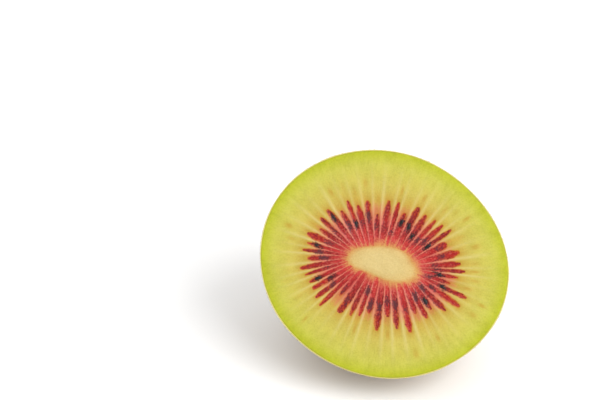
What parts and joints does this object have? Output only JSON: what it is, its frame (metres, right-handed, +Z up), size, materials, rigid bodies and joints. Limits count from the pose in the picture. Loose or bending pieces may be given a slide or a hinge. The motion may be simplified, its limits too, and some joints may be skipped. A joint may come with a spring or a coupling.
{
  "type": "kiwi fruit half",
  "caption": "Half of a red-fleshed kiwi fruit, cut straight across, lying on its side with the juicy cut face turned up and forward.",
  "frame": {"origin": "on the ground, under the middle of the fruit's box", "axes": "+Z up, the cut face looks along -Y and up, X across the fruit"},
  "size_m": [0.0526, 0.0446, 0.0467],
  "materials": {
    "skin": "thin satin olive-tan skin with fine short fuzz and pale flecks",
    "flesh": "moist translucent cut flesh, yellow-green at the rim, red in the middle, cream core",
    "seed": "glossy dark brown seed"
  },
  "bodies": {
    "root": {"kiwi_half": "skin"}
  },
  "joints": []
}
